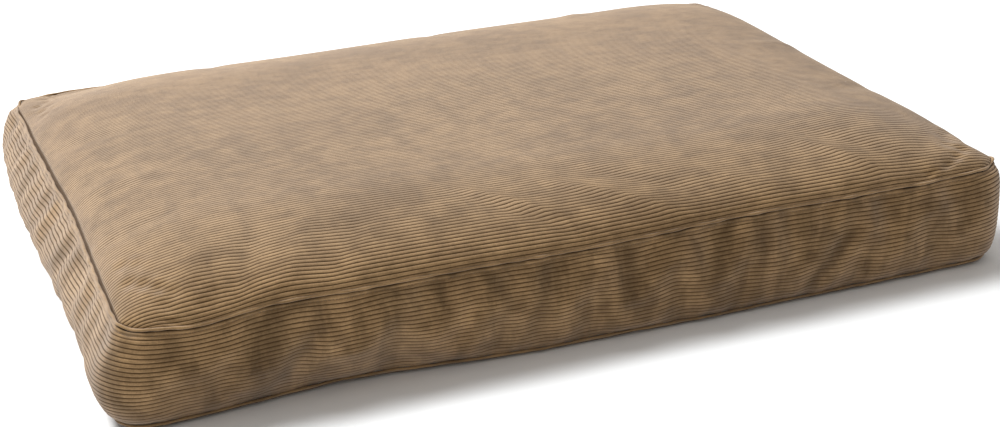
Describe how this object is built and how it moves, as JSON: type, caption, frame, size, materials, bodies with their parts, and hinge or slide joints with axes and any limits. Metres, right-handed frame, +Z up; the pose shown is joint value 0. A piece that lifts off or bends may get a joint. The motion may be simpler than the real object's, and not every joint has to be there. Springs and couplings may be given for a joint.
{
  "type": "pet cushion bed",
  "caption": "Rectangular box-sided pet cushion bed in wide-rib tan corduroy, with a puffed top, welted seams and a zip along the back border.",
  "frame": {"origin": "middle of the flat underside, on the surface the bed rests on", "axes": "+X along the bed's length, +Y towards the zipped back border, +Z up"},
  "size_m": [1.017, 0.7421, 0.159],
  "materials": {
    "corduroy": "matt ribbed pile",
    "thread": "matt twisted thread",
    "lining": "matt non-woven cloth",
    "fibre": "loose polyester fibre",
    "zip_tape": "matt woven tape",
    "zip_coil": "satin nylon",
    "zip_metal": "satin enamel"
  },
  "bodies": {
    "cushion": {"fibre_fill": "fibre", "inner_case_top": "lining", "inner_case_base": "lining", "inner_case_border": "lining", "cover_top_panel": "corduroy", "cover_base_panel": "corduroy", "border_strip": "corduroy", "zip_border_upper": "corduroy", "zip_border_lower": "corduroy", "border_join_seams": "corduroy", "top_seam_welt": "corduroy", "base_seam_welt": "corduroy", "top_topstitching": "thread", "base_topstitching": "thread", "zip_topstitching_upper": "thread", "zip_topstitching_lower": "thread", "zip_tape_upper": "zip_tape", "zip_tape_lower": "zip_tape", "zip_coil_upper": "zip_coil", "zip_coil_lower": "zip_coil", "zip_top_stops": "zip_metal", "zip_bottom_stop": "zip_metal"},
    "zip_slider": {"zip_slider_body": "zip_metal"},
    "zip_pull": {"zip_pull_tab": "zip_metal"}
  },
  "joints": [
    {"name": "zip_slide", "type": "slide", "parent": "cushion", "child": "zip_slider", "axis": [-1, 0, 0], "range_m": [0, 0.8252]},
    {"name": "pull_swing", "type": "hinge", "parent": "zip_slider", "child": "zip_pull", "pos_m": [0.4127, 0.37164, 0.07057], "axis": [0, 0, -1], "range_deg": [0, 170]}
  ]
}
